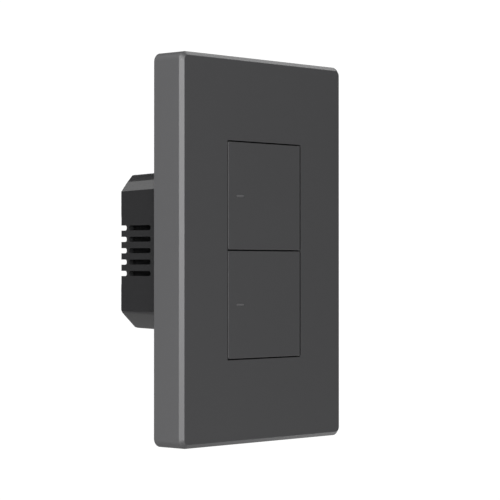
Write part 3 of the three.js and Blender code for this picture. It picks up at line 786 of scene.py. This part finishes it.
def keyInnards(middle, inside, low, high):
    # pins between ribs, pusher, spring peg, latch ledge and stiffeners, all rooted in the cap
    inner = {"root": 0.3, "pinHalf": 2.0, "ribAt": 2.2, "ribHalfThick": 0.5, "ribHalfWide": 1.2,
             "pusherHalf": 1.5, "pusherShort": 0.1, "pegRadius": 0.9, "pegTall": 1.1,
             "ledgeHalf": 12, "ledgeThick": 0.4, "ledgeOut": 0.8,
             "stiffenerAt": 6, "stiffenerHalfThick": 0.45, "stiffenerFrom": -9.5, "stiffenerTo": 10.5}
    root = inside - inner["root"]
    pivotX, pivotY, pin = keyShape["pivotX"], keyShape["pivotY"], keyShape["pin"]
    extras = []
    for z in (middle - keyShape["clipReach"], middle + keyShape["clipReach"]):
        extras.append(addPin("pin", pivotX, pivotY, pin, z - inner["pinHalf"], z + inner["pinHalf"]))
        for side in (-1, 1):
            ribZ = z + side * inner["ribAt"]
            extras.append(addBlock(
                "rib", (pivotX - inner["ribHalfWide"], root, ribZ - inner["ribHalfThick"]),
                (pivotX + inner["ribHalfWide"], pivotY + pin, ribZ + inner["ribHalfThick"])))
    half = inner["pusherHalf"]
    extras.append(addBlock("pusher", (-half, root, middle - half),
                           (half, pivotY - inner["pusherShort"], middle + half)))
    extras.append(addRod("peg", keyShape["springX"], middle, inner["pegRadius"], root,
                         inside + inner["pegTall"], sides=24))
    skirtInside = low.x + keyShape["skirt"]
    extras.append(addBlock(
        "ledge", (skirtInside - inner["root"], high.y - inner["ledgeThick"], middle - inner["ledgeHalf"]),
        (skirtInside + inner["ledgeOut"], high.y, middle + inner["ledgeHalf"])))
    for z in (middle - inner["stiffenerAt"], middle + inner["stiffenerAt"]):
        extras.append(addBlock(
            "stiffener", (inner["stiffenerFrom"], root, z - inner["stiffenerHalfThick"]),
            (inner["stiffenerTo"], inside + 1, z + inner["stiffenerHalfThick"])))
    return extras


def makeLens(level):
    shape = {"halfLong": 1.65, "halfHigh": 0.35, "round": 0.18, "ease": 0.04,
             "flangeFrom": 1.9, "flangeTo": 2.6, "flangeRound": 0.5}
    node = f"{level}_indicator_lens"
    low, high = boxOf(node)
    middle = (low.z + high.z) / 2
    x, halfLong, halfHigh = keyShape["lensX"], shape["halfLong"], shape["halfHigh"]
    lens = addBlock(f"{level}Lens", (x - halfLong, low.y, middle - halfHigh),
                    (x + halfLong, high.y, middle + halfHigh))
    bevelEdges(lens, alongY, shape["round"], segments=4)
    flange = addBlock("flange", (low.x, low.y + shape["flangeFrom"], low.z),
                      (high.x, low.y + shape["flangeTo"], high.z))
    bevelEdges(flange, alongY, shape["flangeRound"], segments=4)
    addOn(lens, [flange])
    softenEdges(lens, shape["ease"])
    smoothShade(lens)
    handOver(lens, f"{level}_key_body", [node], materials["smokedLens"])


def makeSpring(level):
    coil = {"radius": 1.6, "wire": 0.45, "turns": 3, "perTurn": 24, "pressed": 0.75}
    node = f"{level}_key_spring"
    low, high = boxOf(node)
    middle = (low.z + high.z) / 2
    front, back = low.y + coil["wire"] / 2, high.y - coil["wire"] / 2
    steps = coil["turns"] * coil["perTurn"]
    deselectAll()
    bpy.ops.curve.primitive_bezier_curve_add()
    wire = bpy.context.object
    wire.name = f"{level}KeySpring"
    line = wire.data
    line.splines.clear()
    path = line.splines.new("POLY")
    path.points.add(steps)
    for index, point in enumerate(path.points):
        share = index / steps
        angle = 2 * math.pi * coil["turns"] * share
        y = front + (back - front) * share
        place = Vector((keyShape["springX"] + coil["radius"] * math.cos(angle), y,
                        middle + coil["radius"] * math.sin(angle))) * mm
        point.co = (*place, 1)
    line.dimensions = "3D"
    line.bevel_depth = coil["wire"] / 2 * mm
    line.bevel_resolution = 3
    line.use_fill_caps = True
    makeActive(wire)
    bpy.ops.object.convert(target="MESH")
    spring = bpy.context.object
    turnRight(spring)
    smoothShade(spring, angle=50)
    handOver(spring, "base", [node], materials["springWire"])
    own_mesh(spring)


for level in ("upper", "lower"):
    makeKey(level)
    makeLens(level)
    makeSpring(level)
print("keys made")


housing = {"side": 25, "topFront": 25.28, "bottomFront": -25.58, "front": -2.4, "rear": 27.3,
           "draft": 0.98, "wall": 1.8, "rearRound": 0.6, "ease": 0.12, "facetLineX": 22.35,
           "stepDepth": 0.45, "stepFlat": 10.5, "stepSlope": 2.5}


def housingOutline():
    # two straight cuts at each top corner, one at each bottom corner, each eased at its ends
    top, bottom, side = housing["topFront"], housing["bottomFront"], housing["side"]
    right = [(17.8, bottom), (18.9, bottom + 0.25), (24.4, bottom + 4.85), (side, bottom + 5.8),
             (side, top - 5.5), (housing["facetLineX"], top - 2.4), (20.15, top - 0.2), (19.4, top)]
    left = [(-x, z) for x, z in reversed(right)]
    return right + left


def makeHousing():
    front, rear, wall = housing["front"], housing["rear"], housing["wall"]
    tub = traceOutline("rearHousing", housingOutline(), front, rear)
    for up in (1, -1):
        movePoints(tub, lambda p: near(p.y, rear) and p.z * up > 12, (0, 0, -up * housing["draft"]))
    bevelEdges(tub, lambda a, b: near(a.y, rear) and near(b.y, rear), housing["rearRound"], segments=4)
    hollowFrom(tub, lambda centre, normal: near(centre.y, front) and normal.y < -squarely,
               wall, (0, rear - front - wall, 0))
    # the cavity's floor follows the outside's draft, less what the wall takes off it
    floor, floorDraft = rear - wall, housing["draft"] * 0.94
    for up in (1, -1):
        movePoints(tub, lambda p: near(p.y, floor) and p.z * up > 10, (0, 0, -up * floorDraft))
    cutAway(tub, [rearStep()])
    addOn(tub, housingTabs() + housingPillars())
    cutAway(tub, housingBores() + terminalHoles())
    cutAway(tub, ventCutters())
    softenEdges(tub, housing["ease"], angle=38)
    keepCrisp(tub, lambda a, b: onHousingLine(a) and onHousingLine(b))
    smoothShade(tub)
    handOver(tub, "base", ["rear_housing"], materials["housingBlack"])


def onHousingLine(p):
    # the shallow lines where the rear face steps in, and the one between the two upper facets
    within = 0.08
    lines = (housing["stepFlat"], housing["stepFlat"] + housing["stepSlope"])
    onStep = p.y > housing["rear"] - 0.6 and any(near(abs(p.z), line, within) for line in lines)
    return onStep or (near(abs(p.x), housing["facetLineX"], within) and p.z > 20)


def rearStep():
    flat, rear = housing["stepFlat"], housing["rear"]
    reach = housing["side"] + 4
    back = rear + housing["stepDepth"]
    cutter = addBlock("step", (-reach, rear - housing["stepDepth"], -flat), (reach, back, flat))
    for up in (1, -1):
        spread = up * 2 * housing["stepSlope"]
        movePoints(cutter, lambda p: near(p.y, back) and p.z * up > 0, (0, 0, spread))
    return cutter


def housingTabs():
    # outer tabs that bear on the back of the steel frame, and rests behind the power board
    tab = {"in": 24, "out": 27.4, "front": -1.7, "back": -0.2, "low": -8, "high": 8}
    rest = {"in": 21.6, "out": 24, "front": 12.0, "back": 24, "low": 13, "high": 15}
    made = []
    for side in (-1, 1):
        for name, shape in (("tab", tab), ("boardRest", rest)):
            xs = sorted((side * shape["in"], side * shape["out"]))
            made.append(addBlock(name, (xs[0], shape["front"], shape["low"]),
                                 (xs[1], shape["back"], shape["high"])))
    return made


pillars = {"at": 20.4, "radius": 2.4, "front": -2.4, "back": 9.8,
           "boreRadius": 1.4, "boreFront": -3.4, "boreBack": 8.4}


def atPillars(name, radius, front, back, sides):
    return [addRod(name, sideX * pillars["at"], sideZ * pillars["at"], radius, front, back, sides)
            for sideX in (-1, 1) for sideZ in (-1, 1)]


def housingPillars():
    return atPillars("pillar", pillars["radius"], pillars["front"], pillars["back"], sides=40)


def housingBores():
    return atPillars("bore", pillars["boreRadius"], pillars["boreFront"], pillars["boreBack"], sides=32)


def terminalHoles():
    hole = {"count": 4, "pitch": 9, "z": -16.4, "radius": 3, "front": 24.8, "back": 29}
    entry = {"half": 17, "front": 13.8, "back": 19.4, "low": -28, "high": -21.8, "round": 1.0}
    middle = (hole["count"] - 1) / 2
    cutters = [addRod("hole", (index - middle) * hole["pitch"], hole["z"], hole["radius"],
                      hole["front"], hole["back"], sides=48) for index in range(hole["count"])]
    slot = addBlock("wireSlot", (-entry["half"], entry["front"], entry["low"]),
                    (entry["half"], entry["back"], entry["high"]))
    bevelEdges(slot, alongZ, entry["round"], segments=5)
    return cutters + [slot]


def ventCutters():
    vent = {"rows": 5, "pitch": 3.6, "high": 1.6, "from": 13.65, "to": 23.25, "inside": 0.6,
            "notch": 24.4, "notchIn": 4, "round": 0.62, "cornerRound": 0.5}
    side = housing["side"]
    cutters = []
    for row in range(vent["rows"]):
        z = (row - (vent["rows"] - 1) / 2) * vent["pitch"]
        low, high = z - vent["high"] / 2, z + vent["high"] / 2
        for turn in (-1, 1):
            outside = turn * (side + 2)
            xs = sorted((outside, turn * (side - housing["wall"] - vent["inside"])))
            slot = addBlock("slot", (xs[0], vent["from"], low), (xs[1], vent["to"], high))
            bevelEdges(slot, alongX, vent["round"], segments=5)
            xs = sorted((outside, turn * (side - vent["notchIn"])))
            notch = addBlock("notch", (xs[0], vent["notch"], low), (xs[1], housing["rear"] + 3, high))
            bevelEdges(notch, lambda a, b: alongX(a, b) and near(a.y, vent["notch"]), vent["round"], segments=5)
            bevelEdges(notch, lambda a, b: alongY(a, b) and abs(a.x) < side, vent["cornerRound"], segments=5)
            cutters += [slot, notch]
    return cutters


makeHousing()
print("housing made")


def cutThread(piece, x, z, yFrom, yTo, shape):
    # the shank's own points are moved in along a helix that fades out at both ends
    crest, pitch = shape["shank"], shape["pitch"]
    mesh = bmesh.new()
    mesh.from_mesh(piece.data)
    for point in mesh.verts:
        away = Vector((point.co.x / mm - x, 0, point.co.z / mm - z))
        y = point.co.y / mm
        if away.length < crest * 0.8 or not yFrom < y < yTo:
            continue
        turn = math.atan2(away.z, away.x) / (2 * math.pi)
        wave = abs(((y / pitch - turn) % 1) * 2 - 1)
        fade = min(1, (y - yFrom) / pitch, (yTo - y) / pitch)
        away.length = crest - shape["depth"] * fade * (1 - wave)
        point.co.x, point.co.z = (x + away.x) * mm, (z + away.z) * mm
    mesh.to_mesh(piece.data)
    mesh.free()


def crossRecess(front, z, shape):
    half, wide = shape["slotLong"] / 2, shape["slotWide"] / 2
    arms = []
    for longX, longZ in ((half, wide), (wide, half)):
        arm = addBlock("arm", (-longX, front - 0.5, z - longZ),
                       (longX, front + shape["slotDeep"], z + longZ))
        # the recess narrows towards its floor
        startEdit(arm, "FACE")
        pickFaces(arm, lambda centre, normal: normal.y > squarely)
        bpy.ops.transform.resize(value=(shape["slotTaper"], 1, shape["slotTaper"]))
        endEdit()
        arms.append(arm)
    return arms


def makeMountingScrew(level):
    shape = {"head": 3.6, "headTall": 2.1, "headEdge": 0.12, "shank": 1.75, "neck": 0.6,
             "pitch": 0.8, "depth": 0.28, "perTurn": 8, "tip": 0.5, "tipTaper": 0.45, "axis": 0.02,
             "slotLong": 4.0, "slotWide": 0.85, "slotDeep": 1.1, "slotTaper": 0.55}
    node = f"{level}_mounting_screw"
    low, high = boxOf(node)
    z = (low.z + high.z) / 2
    front, back, seat = low.y, high.y, low.y + shape["headTall"]
    head, edge = shape["head"], shape["headEdge"]
    dome = [(shape["axis"], front), (1.4, front + 0.04), (2.3, front + 0.22), (3.0, front + 0.58),
            (3.42, front + 1.02), (head, front + 1.55), (head, seat - edge), (head - edge, seat)]
    shankEnd = back - shape["tip"]
    rings = int((shankEnd - seat) / shape["pitch"] * shape["perTurn"])
    step = (shankEnd - seat) / rings
    shank = [(shape["shank"], seat + step * index) for index in range(rings + 1)]
    profile = dome + shank + [(shape["shank"] - shape["tipTaper"], back), (shape["axis"], back)]
    screw = turnProfile(f"{level}MountingScrew", 0, z, profile, steps=36)
    cutThread(screw, 0, z, seat + shape["neck"], shankEnd, shape)
    cutAway(screw, crossRecess(front, z, shape))
    smoothShade(screw, angle=40)
    handOver(screw, "base", [node], materials["zincScrew"])


for level in ("upper", "lower"):
    makeMountingScrew(level)
print("mounting screws made")


# each CAD solid taken over: its piece, body, slot, finish and how far its edges are eased
refined = {
    "key_frame": ("keyFrame", "base", "carrier_plastic", "carrierGrey", 0.12),
    "mounting_frame": ("mountingFrame", "base", "zinc_steel", "zincPlate", 0.16),
    "logic_board": ("logicBoard", "base", "circuit_board", "solderMask", 0.06),
    "power_board": ("powerBoard", "base", "circuit_board", "solderMask", 0.06),
    "radio_module": ("radioModule", "base", "shield_metal", "tinnedCan", 0.12),
    "header_plug": ("headerPlug", "base", "connector_plastic", "connectorBlack", 0.08),
    "header_socket": ("headerSocket", "base", "connector_plastic", "connectorBlack", 0.08),
    "transformer": ("transformerBlock", "base", "transformer_parts", "transformerBlack", 0.15),
    "film_capacitor": ("filmCapacitor", "base", "capacitor_case", "capacitorRed", 0.4),
    "electrolytic_capacitor": ("canCapacitor", "base", "capacitor_sleeve", "sleeveBlue", 0.25),
    "choke": ("chokeCoil", "base", "ferrite", "ferriteGrey", 0.2),
    "fuse": ("fuseBarrel", "base", "fuse_body", "fuseCeramic", 0.15),
    "varistor": ("varistorDisc", "base", "varistor_coating", "varistorBlue", 0.3),
    "heat_plate": ("heatPlate", "base", "heat_aluminium", "spreaderAluminium", 0.12),
    "terminal_block": ("terminalBlock", "base", "terminal_plastic", "terminalGreen", 0.12),
}
for level in ("upper", "lower"):
    refined[f"{level}_tact_switch"] = (f"{level}TactSwitch", "base", "switch_plastic", "switchBlack", 0.12)
    refined[f"{level}_plunger"] = (
        f"{level}Plunger", f"{level}_plunger_body", "plunger_plastic", "plungerCream", 0.12)
    refined[f"{level}_led"] = (f"{level}Led", "base", "led_body", "ledWhite", 0.08)
    refined[f"{level}_triac"] = (f"{level}Triac", "base", "triac_body", "triacBlack", 0.12)
for number in range(1, 5):
    refined[f"housing_screw_{number}"] = (
        f"housingScrew{number}", "base", "black_screw", "blackScrew", 0.08)
    refined[f"terminal_contact_{number}"] = (
        f"terminalContact{number}", "base", "contact_brass", "contactBrass", 0.08)
    refined[f"wire_clamp_{number}"] = (
        f"wireClamp{number}", f"wire_clamp_body_{number}", "clamp_brass", "clampBrass", 0.12)
    refined[f"terminal_screw_{number}"] = (
        f"terminalScrew{number}", f"terminal_screw_body_{number}", "terminal_steel", "zincScrew", 0.08)

for node, (name, body, slotName, finish, edge) in refined.items():
    piece = copyOfNode(node, name)
    softenEdges(piece, edge)
    smoothShade(piece)
    handOver(piece, body, [node], materials[finish])
print("taken-over solids refined:", len(refined))


# the CAD nodes under the pieces wear the same finishes
nodeFinishes = {
    "front_plate": "plateGrey", "rear_housing": "housingBlack",
    "upper_key": "keyGrey", "lower_key": "keyGrey",
    "upper_indicator_lens": "smokedLens", "lower_indicator_lens": "smokedLens",
    "upper_key_spring": "springWire", "lower_key_spring": "springWire",
    "upper_mounting_screw": "zincScrew", "lower_mounting_screw": "zincScrew",
}
for node, (name, body, slotName, finish, edge) in refined.items():
    nodeFinishes[node] = finish
for node, finish in nodeFinishes.items():
    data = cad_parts[node].data
    data.materials.clear()
    data.materials.append(materials[finish])
print("CAD nodes finished:", len(nodeFinishes))

bpy.context.view_layer.update()
